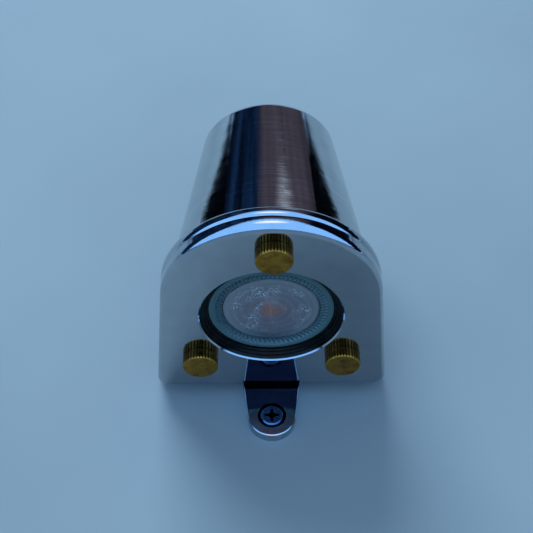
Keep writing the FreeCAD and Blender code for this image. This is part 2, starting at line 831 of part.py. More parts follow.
def build_bracket():
    """A bent steel bracket that carries the lampholder above the back wall."""
    body = new_body("holder_bracket")
    sheet = dim.sheet_thickness
    profile = new_sketch(body, "YZ_Plane", -dim.bracket_half)
    front, back = dim.holder_back - dim.bracket_foot, dim.holder_back + sheet
    top = dim.lamp_height + dim.holder_radius
    bend = dim.bracket_bend
    outline(profile, [
        (front, FLOOR), (back - bend, FLOOR), (back, FLOOR + bend, bend), (back, top),
        (back - sheet, top), (back - sheet, FLOOR + bend),
        (back - bend, FLOOR + sheet, sheet - bend), (front, FLOOR + sheet),
    ])
    pad(body, profile, dim.bracket_half * 2)
    screw_hole = dim.small_screw_radius + dim.screw_hole_gap
    upright = cross_sketch(body, dim.holder_back)
    for side in (1, -1):
        circle(upright, 0, dim.lamp_height + dim.holder_screw_offset * side, screw_hole)
    circle(upright, 0, dim.lamp_height, dim.bracket_hole)
    pocket(body, upright, sheet)
    foot = new_sketch(body, "XY_Plane", FLOOR + sheet)
    for side in (1, -1):
        circle(foot, dim.bracket_screw_offset * side, BRACKET_SCREW_POSITION, screw_hole)
    pocket(body, foot, sheet)


def small_screw(body, head, shank, length, backwards):
    pad(body, head, dim.small_head_height, not backwards)
    pad(body, shank, length, backwards)


def build_small_screws():
    """Pan-headed machine screws; each group is one node of separate solids."""
    radius = dim.small_screw_radius - dim.fit_gap
    foot_top = FLOOR + dim.sheet_thickness
    feet = new_body("bracket_screws")
    heads = new_sketch(feet, "XY_Plane", foot_top)
    shanks = new_sketch(feet, "XY_Plane", foot_top)
    for side in (1, -1):
        spot = (dim.bracket_screw_offset * side, BRACKET_SCREW_POSITION)
        circle(heads, *spot, dim.small_head_radius)
        circle(shanks, *spot, radius)
    grip = dim.sheet_thickness + FLOOR - dim.blind_skin - dim.screw_hole_gap
    small_screw(feet, heads, shanks, grip, True)

    backs = new_body("holder_screws", z=dim.lamp_height)
    back = dim.holder_back + dim.sheet_thickness
    heads = cross_sketch(backs, back)
    shanks = cross_sketch(backs, back)
    for side in (1, -1):
        circle(heads, 0, dim.holder_screw_offset * side, dim.small_head_radius)
        circle(shanks, 0, dim.holder_screw_offset * side, radius)
    small_screw(backs, heads, shanks, dim.sheet_thickness + dim.holder_screw_grip, False)


build_holder()
build_contacts()
build_bracket()
build_small_screws()

# ---------------------------------------------------------------- wall screws


def build_wall_screws():
    """Zinc-plated cross-recess screws through the lugs into the wall, plain under the head."""
    body = new_body("wall_screws")
    centres = (dim.front_lug_centre, dim.back_lug_centre)
    seat = dim.lug_thickness - dim.recess_depth
    top = seat + dim.wall_head_height
    tip = seat - dim.wall_screw_length
    head = new_sketch(body, "XY_Plane", seat)
    plain = new_sketch(body, "XY_Plane", seat)
    thread = new_sketch(body, "XY_Plane", seat)
    for centre in centres:
        circle(head, 0, centre, dim.wall_head_radius)
        circle(plain, 0, centre, dim.plain_shank_radius)
        circle(thread, 0, centre, dim.wall_screw_radius)
    heads = pad(body, head, dim.wall_head_height)
    rims = edge_names(heads, lambda edge, p: near(p.z, top.value))
    dress(body, "Fillet", heads, rims, dim.wall_head_edge)
    threads = pad(body, thread, dim.wall_screw_length, backwards=True)
    tips = edge_names(threads, lambda edge, p: near(p.z, tip.value))
    dress(body, "Chamfer", threads, tips, dim.screw_point)
    pad(body, plain, seat + dim.plain_shank_below, backwards=True)
    cut_cross_recesses(body, centres, top)


def cut_cross_recesses(body, centres, top):
    """Four arms and a wider round middle, sunk into each head."""
    arms = new_sketch(body, "XY_Plane", top)
    middles = new_sketch(body, "XY_Plane", top)
    arm, half = dim.drive_arm, dim.drive_half
    for centre in centres:
        outline(arms, [
            (arm, centre - half), (arm, centre + half), (half, centre + half),
            (half, centre + arm), (-half, centre + arm), (-half, centre + half),
            (-arm, centre + half), (-arm, centre - half), (-half, centre - half),
            (-half, centre - arm), (half, centre - arm), (half, centre - half),
        ])
        circle(middles, 0, centre, dim.drive_centre)
    pocket(body, arms, dim.drive_depth)
    pocket(body, middles, dim.drive_depth)


build_wall_screws()

# ---------------------------------------------------------------- wiring

BLOCK_BACK = dim.block_front + dim.block_depth
POLE_HEIGHT = FLOOR + dim.block_height / 2
POLES = [dim.pole_pitch * step for step in (-1, 0, 1)]


def build_grommet():
    """The rubber grommet that lines the cable hole in the back wall."""
    groove, lip = dim.grommet_hole, dim.grommet_hole + dim.grommet_lip
    lip_height = dim.grommet_lip_height
    body = new_body("cable_grommet", y=dim.grommet_position)
    for low, height, radius in ((0, FLOOR, groove), (FLOOR, lip_height, lip)):
        sketch = new_sketch(body, "XY_Plane", low)
        circle(sketch, 0, 0, radius)
        pad(body, sketch, height)
    bore = new_sketch(body, "XY_Plane", FLOOR + lip_height)
    circle(bore, 0, 0, dim.cable_radius)
    pocket(body, bore, FLOOR + lip_height)


def build_terminal_block():
    """A three-pole block with a brass sleeve and a clamping screw in each pole."""
    middle = (dim.block_front + BLOCK_BACK) / 2
    body = new_body("terminal_block")
    base = new_sketch(body, "XY_Plane", FLOOR)
    rectangle(base, -dim.block_half, dim.block_half, dim.block_front, BLOCK_BACK)
    pad(body, base, dim.block_height)
    entries = cross_sketch(body, dim.block_front)
    wells = new_sketch(body, "XY_Plane", FLOOR + dim.block_height)
    for pole in POLES:
        circle(entries, pole, POLE_HEIGHT, dim.entry_radius)
        circle(wells, pole, middle, dim.well_radius)
    pocket(body, entries, dim.block_depth)
    pocket(body, wells, dim.block_height / 2)

    sleeves = new_body("terminal_sleeves")
    sleeve_front = dim.block_front + dim.sleeve_setback
    sleeve_length = dim.block_depth - dim.sleeve_setback * 2
    outer = cross_sketch(sleeves, sleeve_front)
    inner = cross_sketch(sleeves, sleeve_front)
    for pole in POLES:
        circle(outer, pole, POLE_HEIGHT, dim.sleeve_radius)
        circle(inner, pole, POLE_HEIGHT, dim.sleeve_bore)
    pad(sleeves, outer, sleeve_length, backwards=True)
    pocket(sleeves, inner, sleeve_length)

    screws = new_body("terminal_screws")
    screw_foot = dim.sleeve_radius + dim.fit_gap
    heads = new_sketch(screws, "XY_Plane", POLE_HEIGHT + screw_foot)
    for pole in POLES:
        circle(heads, pole, middle, dim.terminal_screw_radius)
    pad(screws, heads, dim.block_height / 2 - screw_foot - dim.terminal_screw_sunk)


def build_earth_terminal():
    """A ring tag clamped on the earth boss by its screw."""
    x, y = dim.earth_offset, dim.earth_position
    top, thickness = FLOOR + dim.earth_boss_height, dim.tag_thickness
    tag = new_body("earth_tag")
    plate = new_sketch(tag, "XY_Plane", top)
    circle(plate, x, y, dim.tag_radius)
    pad(tag, plate, thickness)
    tail = new_sketch(tag, "XY_Plane", top)
    rectangle(tail, x - dim.tag_tail_half, x + dim.tag_tail_half,
              y - dim.tag_length, y - dim.tag_radius / 2)
    pad(tag, tail, thickness)
    hole = new_sketch(tag, "XY_Plane", top + thickness)
    circle(hole, x, y, dim.small_screw_radius + dim.screw_hole_gap)
    pocket(tag, hole, thickness)

    screw = new_body("earth_screw")
    head = new_sketch(screw, "XY_Plane", top + thickness)
    shank = new_sketch(screw, "XY_Plane", top + thickness)
    circle(head, x, y, dim.small_head_radius)
    circle(shank, x, y, dim.small_screw_radius - dim.fit_gap)
    small_screw(screw, head, shank, dim.earth_boss_height + FLOOR / 2, True)


def lead(label, corners):
    """A wire of straight runs joined by tangent arcs, each as large as its runs allow."""
    points = [Vector(*(as_size(c).value for c in corner)) for corner in corners]
    edges, start = [], points[0]
    for before, corner, after in zip(points, points[1:], points[2:]):
        run = min((corner - before).Length, (after - corner).Length)
        toward, away = (before - corner).normalize(), (after - corner).normalize()
        cut = 0.45 * run
        first, last = corner + toward * cut, corner + away * cut
        bisector = (toward + away).normalize()
        half_turn = (math.pi - toward.getAngle(away)) / 2
        radius = cut / math.tan(half_turn)
        middle = corner + bisector * (radius / math.cos(half_turn) - radius)
        edges.append(Part.LineSegment(start, first).toShape())
        edges.append(Part.Arc(first, middle, last).toShape())
        start = last
        print(f"{label}: bend radius {radius:.1f} mm")
    edges.append(Part.LineSegment(start, points[-1]).toShape())
    path = Part.Wire(edges)
    direction = points[1] - points[0]
    section = Part.Wire(Part.Circle(points[0], direction, dim.lead_radius.value).toShape())
    piece = doc.addObject("Part::Feature", label)
    piece.Label = label
    piece.Shape = path.makePipeShell([section], True, True)
    expected = math.pi * dim.lead_radius.value ** 2 * path.Length
    if abs(piece.Shape.Volume / expected - 1) > 0.02:
        raise RuntimeError(f"{label} is not a full tube")
    finished.append(piece)


def build_leads():
    """Three leads inside the body: two from the lampholder, one from the earth tag."""
    run_height = POLE_HEIGHT + 3.0
    entry = BLOCK_BACK - 1.9
    for label, pole, side in (("lead_live", POLES[2], 1), ("lead_neutral", POLES[1], -1)):
        x = as_size(4.5 * side)
        y = dim.holder_back - 5.0
        start = HOLDER_BOTTOM + 0.4
        lead(label, [(x, y, start), (x, y - 0.5, run_height + 9.0), (x, y - 12.0, run_height),
                     (pole, BLOCK_BACK + 9.0, POLE_HEIGHT + 0.5), (pole, entry, POLE_HEIGHT)])
    tag_end = dim.earth_position - dim.tag_length
    tag_top = FLOOR + dim.earth_boss_height + dim.tag_thickness + dim.lead_radius
    lead("lead_earth", [(dim.earth_offset, tag_end + 4.0, tag_top),
                        (dim.earth_offset, tag_end - 1.0, tag_top),
                        (POLES[0], BLOCK_BACK + 3.0, POLE_HEIGHT),
                        (POLES[0], entry, POLE_HEIGHT)])


build_grommet()
build_terminal_block()
build_earth_terminal()
build_leads()

# ---------------------------------------------------------------- write the pieces


def check_and_write():
    doc.recompute()
    failed = [item.Name for item in doc.Objects if {"Invalid", "Error"} & set(item.State)]
    if failed:
        raise RuntimeError(f"failed features: {failed}")
    os.makedirs("parts", exist_ok=True)
    for piece in finished:
        shape = piece.Shape
        if shape.isNull() or not shape.isValid():
            raise RuntimeError(f"{piece.Label} has no valid shape")
        shape.exportStep(f"parts/{piece.Label}.step")
        box = shape.BoundBox
        print(f"{piece.Label:24s} {len(shape.Solids)} solid(s) {shape.Volume:10.1f} mm3 "
              f"X {box.XMin:.1f}..{box.XMax:.1f} Y {box.YMin:.1f}..{box.YMax:.1f} "
              f"Z {box.ZMin:.1f}..{box.ZMax:.1f}")


check_and_write()
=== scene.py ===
# %% [markdown]
# # A cast aluminium bulkhead light
# This lesson dresses a finished CAD model of a small boat light. The body is a polished
# casting with a hood, the front is a thick plate held by three knurled brass screws, and
# a reflector lamp looks out of its hole. The CAD parts keep their places; here they get
# their finishes, and the glass parts are rebuilt with the fine relief that CAD leaves out.

# %% Load the frame
import math

import bpy
from mathutils import Matrix, Vector


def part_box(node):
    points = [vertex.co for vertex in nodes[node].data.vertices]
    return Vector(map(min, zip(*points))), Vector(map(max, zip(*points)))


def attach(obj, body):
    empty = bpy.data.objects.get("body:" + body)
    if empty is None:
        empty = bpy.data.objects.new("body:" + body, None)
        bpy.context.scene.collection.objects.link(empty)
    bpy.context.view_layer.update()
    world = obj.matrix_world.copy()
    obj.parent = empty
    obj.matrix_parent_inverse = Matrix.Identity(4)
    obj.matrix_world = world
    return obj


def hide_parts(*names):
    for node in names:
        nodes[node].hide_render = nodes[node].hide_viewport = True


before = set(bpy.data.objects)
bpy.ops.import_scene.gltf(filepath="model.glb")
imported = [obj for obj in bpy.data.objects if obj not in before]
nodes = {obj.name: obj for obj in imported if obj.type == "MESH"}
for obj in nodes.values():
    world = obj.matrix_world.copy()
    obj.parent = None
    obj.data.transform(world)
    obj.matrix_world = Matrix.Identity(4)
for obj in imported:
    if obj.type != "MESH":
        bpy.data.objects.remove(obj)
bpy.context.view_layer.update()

MM = 0.001

# %% [markdown]
# ## Measures that the rest of the lesson uses
# Places on the light come from the boxes of the CAD nodes, so they follow the CAD if it
# changes. The camera, the lamp and what the metal mirrors were given one by one. The lamp's axis
# runs along Y through the middle of its seal.

# %% Read the frame's own sizes
def middle(node):
    """Centre of a CAD node's box."""
    low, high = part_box(node)
    return (low + high) / 2


lamp_axis = middle("lamp_seal")
lens_low, lens_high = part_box("lamp_lens")
cup_low, cup_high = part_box("lamp_reflector")
lens_radius = (lens_high.x - lens_low.x) / 2
cup_radius = (cup_high.x - cup_low.x) / 2
print(f"lamp radius {cup_radius / MM:.1f} mm, axis at z = {lamp_axis.z / MM:.1f} mm")

# %% [markdown]
# ## Colour and nodes
# Colours are picked as sRGB hex values, the way a colour picker shows them. Shaders work
# in linear light, so one function converts them. A second small function adds a shader
# node of any kind, sets it up and links it: give it a value, a hex colour or a socket.

# %% Colour and node helpers
COLOURS = {"data_type": "RGBA"}
FIRST, SECOND, MIXED = 6, 7, 2  # places of a Mix node's colour sockets, which share their names


def linear(hex_colour):
    """An sRGB hex colour as the linear RGBA that shaders use."""
    channels = [int(hex_colour[i:i + 2], 16) / 255 for i in (1, 3, 5)]
    light = [c / 12.92 if c <= 0.04045 else ((c + 0.055) / 1.055) ** 2.4 for c in channels]
    return (*light, 1.0)


def add_node(tree, kind, settings=None, inputs=None):
    """Add a node; an input is given a value, a hex colour, or a socket to link from."""
    node = tree.nodes.new("ShaderNode" + kind)
    for name, value in (settings or {}).items():
        setattr(node, name, value)
    for name, value in (inputs or {}).items():
        if isinstance(value, bpy.types.NodeSocket):
            tree.links.new(value, node.inputs[name])
        elif isinstance(value, str):
            node.inputs[name].default_value = linear(value)
        else:
            node.inputs[name].default_value = value
    return node


def new_material(name, colour, roughness, metallic=0.0, **sockets):
    """A material whose Principled shader starts from one colour and its constants."""
    material = bpy.data.materials.new(name)
    material.use_nodes = True
    tree = material.node_tree
    shader = tree.nodes["Principled BSDF"]
    values = {"Base Color": linear(colour), "Roughness": roughness, "Metallic": metallic}
    for socket, value in {**values, **sockets}.items():
        shader.inputs[socket].default_value = value
    return material, tree, shader


def object_space(tree, scale=(1, 1, 1), offset=(0, 0, 0)):
    """Positions in metres, stretched by scale, so that patterns keep their real size."""
    place = add_node(tree, "TexCoord")
    return add_node(tree, "Mapping", {}, {"Vector": place.outputs["Object"], "Scale": scale,
                                          "Location": offset}).outputs["Vector"]


def finish_node(name, material):
    """Give a CAD node its material."""
    slots = nodes[name].material_slots
    if not slots:
        nodes[name].data.materials.append(material)
    for slot in nodes[name].material_slots:
        slot.material = material


# %% [markdown]
# ## Camera
# The camera looks down on the light from in front, as a person would who stands over it.
# A long lens from half a metre keeps the hood from shrinking too fast towards its end.

# %% Place the camera
LENS = 87.8
CAMERA_DISTANCE = 0.518
CAMERA_ELEVATION = math.radians(50.53)
CAMERA_AZIMUTH = math.radians(-0.52)
CAMERA_ROLL = math.radians(-0.21)
target = Vector((-1.7 * MM, 20.0 * MM, 58.2 * MM))

camera_data = bpy.data.cameras.new("camera")
camera_data.lens = LENS
camera = bpy.data.objects.new("camera", camera_data)
bpy.context.scene.collection.objects.link(camera)
away = Vector((math.sin(CAMERA_AZIMUTH) * math.cos(CAMERA_ELEVATION),
               -math.cos(CAMERA_AZIMUTH) * math.cos(CAMERA_ELEVATION),
               math.sin(CAMERA_ELEVATION)))
facing = away.to_track_quat("Z", "Y").to_matrix().to_4x4() @ Matrix.Rotation(CAMERA_ROLL, 4, "Z")
camera.matrix_world = facing
camera.location = target + away * CAMERA_DISTANCE
bpy.context.scene.camera = camera
print("camera at", tuple(round(c, 3) for c in camera.location))

# %% [markdown]
# ## Floor, sky and light
# Polished metal has hardly any colour of its own: it shows what is round it. So the
# surroundings are part of the finish. A pale floor, a bright soft sky and a dark belt
# above the horizon give the hood its dark stripe between two pale flanks. The world is
# split by kind of ray: the camera sees a plain backdrop, matt surfaces get a dim even
# light, and only mirrors see the drawn sky. A mirror seen in another mirror also shows a
# dark patch in front, for whoever stands there; that is a painter's trick, not optics.

# %% Build the floor
FLOOR_HALF = 3.0
FLOOR_CLOUDS = 6.0  # per metre: uneven paint, one cloud in 17 cm


def build_floor():
    half = FLOOR_HALF
    mesh = bpy.data.meshes.new("floor")
    mesh.from_pydata([(-half, -half, 0), (half, -half, 0), (half, half, 0), (-half, half, 0)],
                     [], [(0, 1, 2, 3)])
    floor = bpy.data.objects.new("floor", mesh)
    bpy.context.scene.collection.objects.link(floor)
    material, tree, shader = new_material("painted_board", "#a9c3d8", 0.55)
    place = object_space(tree)
    cloudy = add_node(tree, "MapRange", inputs={
        "Value": add_node(tree, "TexNoise", inputs={
            "Vector": place, "Scale": FLOOR_CLOUDS, "Detail": 3.0}).outputs["Fac"],
        "From Min": 0.35, "From Max": 0.65}).outputs["Result"]
    tree.links.new(
        add_node(tree, "Mix", COLOURS, {
            "Factor": cloudy, FIRST: "#a0bccc", SECOND: "#a8c5d4"}).outputs[MIXED],
        shader.inputs["Base Color"])
    mesh.materials.append(material)


build_floor()
print(f"floor is {2 * FLOOR_HALF:.0f} m square")

# %% Build the sky
def dark_belt(tree, depth, rise):
    """One where dark surroundings stand on the horizon: low in front, high behind."""
    top = add_node(tree, "MapRange", inputs={
        "Value": depth, "From Min": -0.45, "From Max": 0.15, "To Min": 0.1,
        "To Max": 0.82}).outputs["Result"]
    over = add_node(tree, "Math", {"operation": "SUBTRACT"}, {0: rise, 1: top}).outputs[0]
    standing = add_node(tree, "MapRange", inputs={
        "Value": over, "From Min": -0.06, "From Max": 0.06, "To Min": 1.0,
        "To Max": 0.0}).outputs["Result"]
    above = add_node(tree, "MapRange", inputs={
        "Value": rise, "From Min": -0.01, "From Max": 0.01}).outputs["Result"]
    return add_node(tree, "Math", {"operation": "MULTIPLY"}, {0: standing, 1: above}).outputs[0]


def near_direction(tree, place, direction, inner, outer):
    """One within a cone round a direction; inner and outer are the cone's angles in degrees."""
    dot = add_node(tree, "VectorMath", {"operation": "DOT_PRODUCT"},
                   {0: place, 1: Vector(direction).normalized()}).outputs["Value"]
    return add_node(tree, "MapRange", inputs={
        "Value": dot, "From Min": math.cos(math.radians(outer)),
        "From Max": math.cos(math.radians(inner))}).outputs["Result"]


SKY_CLOUDS = 11.0
PALE_PATCH = (0.20, 0.87, 0.44)  # directions from the light; these were given one by one
WARM_PATCH = (-0.33, 0.86, 0.40)
VIEWER = (0.0, -0.6, 0.8)
BELT_SHADE = 0.42
MIRRORED_STRENGTH = 2.0
EVEN_STRENGTH = 0.40


def build_sky():
    world = bpy.data.worlds.new("studio_sky")
    bpy.context.scene.world = world
    world.use_nodes = True
    tree = world.node_tree
    tree.nodes.clear()
    place = add_node(tree, "TexCoord").outputs["Generated"]
    split = add_node(tree, "SeparateXYZ", {}, {"Vector": place})
    side, depth, rise = split.outputs["X"], split.outputs["Y"], split.outputs["Z"]

    cloudy = add_node(tree, "TexNoise", inputs={
        "Vector": place, "Scale": SKY_CLOUDS, "Detail": 4.0, "Roughness": 0.6}).outputs["Fac"]
    wander = add_node(tree, "Math", {"operation": "MULTIPLY_ADD"}, {
        0: cloudy, 1: 0.12, 2: side}).outputs[0]
    navy = add_node(tree, "Mix", COLOURS, {
        "Factor": add_node(tree, "MapRange", inputs={
            "Value": cloudy, "From Min": 0.42, "From Max": 0.66}).outputs["Result"],
        FIRST: "#040c1c", SECOND: "#1c3a63"}).outputs[MIXED]
    purple = add_node(tree, "Mix", COLOURS, {
        "Factor": add_node(tree, "MapRange", inputs={
            "Value": cloudy, "From Min": 0.35, "From Max": 0.75}).outputs["Result"],
        FIRST: "#534f5b", SECOND: "#3a3442"}).outputs[MIXED]
    belt = add_node(tree, "Mix", COLOURS, {
        "Factor": add_node(tree, "MapRange", inputs={
            "Value": wander, "From Min": -0.1, "From Max": 0.0}).outputs["Result"],
        FIRST: navy, SECOND: purple}).outputs[MIXED]
    belt = add_node(tree, "Mix", COLOURS, {
        "Factor": add_node(tree, "MapRange", inputs={
            "Value": wander, "From Min": 0.42, "From Max": 0.6}).outputs["Result"],
        FIRST: belt, SECOND: "#050b18"}).outputs[MIXED]
    glow = near_direction(tree, place, PALE_PATCH, 2.0, 8.5)
    belt = add_node(tree, "Mix", COLOURS, {
        "Factor": add_node(tree, "MapRange", inputs={"Value": glow, "To Max": 0.9}).outputs["Result"],
        FIRST: belt, SECOND: "#c9d3e2"}).outputs[MIXED]
    warm = near_direction(tree, place, WARM_PATCH, 0.4, 2.6)
    belt = add_node(tree, "Mix", COLOURS, {
        "Factor": warm, FIRST: belt, SECOND: "#b8805c"}).outputs[MIXED]
    sky = add_node(tree, "Mix", COLOURS, {
        "Factor": add_node(tree, "MapRange", inputs={
            "Value": rise, "From Min": 0.955, "From Max": 0.995}).outputs["Result"],
        FIRST: "#7db4f2", SECOND: "#f2f7ff"}).outputs[MIXED]
    belt = add_node(tree, "Mix", COLOURS, {
        "Factor": BELT_SHADE, FIRST: belt, SECOND: "#000000"}).outputs[MIXED]
    upper = add_node(tree, "Mix", COLOURS, {
        "Factor": dark_belt(tree, depth, rise), FIRST: sky, SECOND: belt}).outputs[MIXED]
    ray = add_node(tree, "LightPath")
    second_bounce = add_node(tree, "MapRange", inputs={
        "Value": ray.outputs["Glossy Depth"], "From Min": 1.4, "From Max": 1.6}).outputs["Result"]
    facing_us = near_direction(tree, place, VIEWER, 24.0, 40.0)
    viewer = add_node(tree, "Math", {"operation": "MULTIPLY"}, {
        0: second_bounce, 1: facing_us}).outputs[0]
    upper = add_node(tree, "Mix", COLOURS, {
        "Factor": viewer, FIRST: upper, SECOND: "#071330"}).outputs[MIXED]
    below = add_node(tree, "MapRange", inputs={
        "Value": rise, "From Min": -0.01, "From Max": 0.01}).outputs["Result"]
    mirrored = add_node(tree, "Background", {}, {
        "Color": add_node(tree, "Mix", COLOURS, {
            "Factor": below, FIRST: "#66809a", SECOND: upper}).outputs[MIXED],
        "Strength": MIRRORED_STRENGTH})
    ambient = add_node(tree, "Background", {}, {"Color": "#c3d0da", "Strength": EVEN_STRENGTH})
    backdrop = add_node(tree, "Background", {}, {"Color": "#8fb0c8", "Strength": 1.0})
    shaded = add_node(tree, "MixShader", {}, {
        "Fac": ray.outputs["Is Diffuse Ray"], 1: mirrored.outputs[0], 2: ambient.outputs[0]})
    seen = add_node(tree, "MixShader", {}, {
        "Fac": ray.outputs["Is Camera Ray"], 1: shaded.outputs[0], 2: backdrop.outputs[0]})
    add_node(tree, "OutputWorld", {}, {"Surface": seen.outputs[0]})


build_sky()
print("sky: blue in front, dark belt behind")

# %% [markdown]
# ## Black flags
# People who light polished metal stand black cards, called flags, just out of view. They
# are hidden from the camera and throw no shadow, but the metal mirrors them, and so the
# dark stripe on the hood widens towards the flange.

# %% Stand two flags beside the hood
FLAG_SIDE = 0.215
FLAG_BEHIND = 0.30
FLAG_SPREAD = 0.47  # metres outwards for each metre back
FLAG_LENGTH = 2.6
FLAG_HEIGHT = 0.25


def black_flag(name, side):
    near_foot = Vector((FLAG_SIDE * side, FLAG_BEHIND, 0.0))
    far_foot = near_foot + Vector((FLAG_SPREAD * side, 1.0, 0.0)) * FLAG_LENGTH
    up = Vector((0, 0, FLAG_HEIGHT))
    mesh = bpy.data.meshes.new(name)
    mesh.from_pydata([near_foot, far_foot, far_foot + up, near_foot + up], [], [(0, 1, 2, 3)])
    flag = bpy.data.objects.new(name, mesh)
    bpy.context.scene.collection.objects.link(flag)
    material, _, shader = new_material(f"{name}_card", "#020408", 1.0)
    shader.inputs["Specular IOR Level"].default_value = 0.0
    mesh.materials.append(material)
    flag.visible_camera = False
    flag.visible_diffuse = False
    flag.visible_shadow = False
    flag.visible_transmission = False


for flag_name, flag_side in (("flag_left", -1), ("flag_right", 1)):
    black_flag(flag_name, flag_side)
print("two flags")

# %% [markdown]
# ## One soft light
# A single large lamp stands behind and above the light, so that its soft shadow falls
# forwards over the floor. It is hidden from reflections, because the sky already gives them.

# %% Hang the soft light
AIM = Vector((0, 0.03, 0.05))


def soft_light(name, place, size, power, colour):
    data = bpy.data.lights.new(name, "AREA")
    data.shape = "DISK"
    data.size = size
    data.energy = power
    data.color = linear(colour)[:3]
    lamp = bpy.data.objects.new(name, data)
    bpy.context.scene.collection.objects.link(lamp)
    lamp.location = place
    lamp.rotation_euler = (AIM - Vector(place)).to_track_quat("-Z", "Y").to_euler()
    lamp.visible_glossy = False


soft_light("soft_key", place=(-0.32, 1.0, 1.0), size=0.85, power=14.8, colour="#dde9f6")
bpy.context.scene.view_settings.view_transform = "Standard"
print("one soft light")

# %% [markdown]
# ## Polished cast aluminium
# The casting was fettled and then polished on a buffing wheel, so it is nearly a mirror,
# with fine lines the way the wheel ran and the slow ripple that hand polishing leaves.

# %% Polished aluminium
RECESS_RADIUS = 5.95 * MM
RECESS_TOP = 4.0 * MM
SCREW_HEAD = 4.8 * MM
screws_low, screws_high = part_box("wall_screws")


def recess_shade_mask(tree, reach, top):
    """One round each wall screw's axis and below a height: the recess, which is painted dark for its
    shade.
    """
    inside = None
    for centre in (screws_low.y + SCREW_HEAD, screws_high.y - SCREW_HEAD):
        place = add_node(tree, "SeparateXYZ", {}, {
            "Vector": object_space(tree, (1, 1, 1), (0, -centre, 0))}).outputs
        flat = add_node(tree, "CombineXYZ", {}, {"X": place["X"], "Y": place["Y"]}).outputs[0]
        away = add_node(tree, "VectorMath", {"operation": "LENGTH"}, {0: flat}).outputs["Value"]
        near = add_node(tree, "MapRange", inputs={
            "Value": away, "From Min": reach - 0.05 * MM, "From Max": reach + 0.05 * MM, "To Min": 1.0,
            "To Max": 0.0}).outputs["Result"]
        low = add_node(tree, "MapRange", inputs={
            "Value": place["Z"], "From Min": top - 0.2 * MM, "From Max": top, "To Min": 1.0,
            "To Max": 0.0}).outputs["Result"]
        spot = add_node(tree, "Math", {"operation": "MULTIPLY"}, {0: near, 1: low}).outputs[0]
        if inside is None:
            inside = spot
        else:
            inside = add_node(tree, "Math", {"operation": "MAXIMUM"}, {0: inside, 1: spot}).outputs[0]
    return inside


RIPPLES = 38.0  # per metre: the slow unevenness of hand work, one in 26 mm
CLOUDS = 120.0  # per metre: haze on the polish, one patch in 8 mm
WORN_PATCHES = 45.0  # per metre: stretches where the lines were left, one in 22 mm
RIPPLE_DEPTH = 0.12 * MM


def polished_aluminium(name, stretch, line_depth, scratch):
    """A buffed casting; stretch sets which way the wheel's lines run, per metre."""
    material, tree, shader = new_material(name, "#b4b9be", 0.09, 1.0)
    lines = add_node(tree, "TexNoise", inputs={
        "Vector": object_space(tree, stretch), "Scale": 1.0, "Detail": 3.0,
        "Roughness": 0.6}).outputs["Fac"]
    ripple = add_node(tree, "TexNoise", inputs={
        "Vector": object_space(tree), "Scale": RIPPLES, "Detail": 1.0}).outputs["Fac"]
    cloud = add_node(tree, "TexNoise", inputs={
        "Vector": object_space(tree, (1, 1, 1), (0.3, 0.1, 0)), "Scale": CLOUDS,
        "Detail": 4.0}).outputs["Fac"]
    rough = add_node(tree, "Math", {"operation": "MULTIPLY_ADD"}, {
        0: add_node(tree, "MapRange", inputs={
            "Value": lines, "From Min": 0.3, "From Max": 0.7}).outputs["Result"],
        1: 0.05,
        2: add_node(tree, "MapRange", inputs={
            "Value": cloud, "From Min": 0.35, "From Max": 0.7, "To Min": 0.03,
            "To Max": 0.07}).outputs["Result"]})
    tree.links.new(rough.outputs[0], shader.inputs["Roughness"])
    tint = add_node(tree, "Mix", COLOURS, {
        "Factor": add_node(tree, "MapRange", inputs={
            "Value": cloud, "From Min": 0.3, "From Max": 0.75}).outputs["Result"],
        FIRST: "#bfc3c7", SECOND: "#b4b9be"}).outputs[MIXED]
    worn = add_node(tree, "MapRange", inputs={
        "Value": add_node(tree, "TexNoise", inputs={
            "Vector": object_space(tree), "Scale": WORN_PATCHES}).outputs["Fac"],
        "From Min": 0.4, "From Max": 0.62, "To Min": 0.15}).outputs["Result"]
    scratched = add_node(tree, "Math", {"operation": "MULTIPLY"}, {
        0: add_node(tree, "MapRange", inputs={
            "Value": lines, "From Min": 0.48, "From Max": 0.78, "To Max": scratch}).outputs["Result"],
        1: worn}).outputs[0]
    tint = add_node(tree, "Mix", COLOURS, {
        "Factor": scratched, FIRST: tint, SECOND: "#eef1f4"}).outputs[MIXED]
    # Painted shade: near black in the recesses round the wall screws, where shade falls.
    painted_recess_shade = recess_shade_mask(tree, RECESS_RADIUS, RECESS_TOP)
    tint = add_node(tree, "Mix", COLOURS, {
        "Factor": painted_recess_shade, FIRST: tint, SECOND: "#0b0e14"}).outputs[MIXED]
    tree.links.new(tint, shader.inputs["Base Color"])
    wavy = add_node(tree, "Bump", inputs={"Height": ripple, "Distance": RIPPLE_DEPTH}).outputs["Normal"]
    tree.links.new(
        add_node(tree, "Bump", inputs={
            "Height": lines, "Distance": line_depth, "Normal": wavy}).outputs["Normal"],
        shader.inputs["Normal"])
    return material


# Lines per metre. A wheel's lines are about 0.1 mm apart, which is too fine to show, so the
# hood's run round it 0.8 mm apart and 20 mm long, and the plate has an even 1.1 mm grain.
HOOD_LINES = (50, 1300, 50)
PLATE_LINES = (900, 900, 900)
hood_finish = polished_aluminium("cast_aluminium_buffed", HOOD_LINES, 0.014 * MM, scratch=0.8)
plate_finish = polished_aluminium("plate_aluminium_buffed", PLATE_LINES, 0.002 * MM, scratch=0.1)
finish_node("housing", hood_finish)
finish_node("cover_plate", plate_finish)
print("housing and cover plate polished")

# %% [markdown]
# ## Turned brass
# The knobs were turned from bar on a lathe. The facing cut leaves fine rings round the
# middle, which can catch the light as a bright cross, and handling leaves brown tarnish.
# The rings are drawn about twice as coarse as a real facing cut, so that they show.

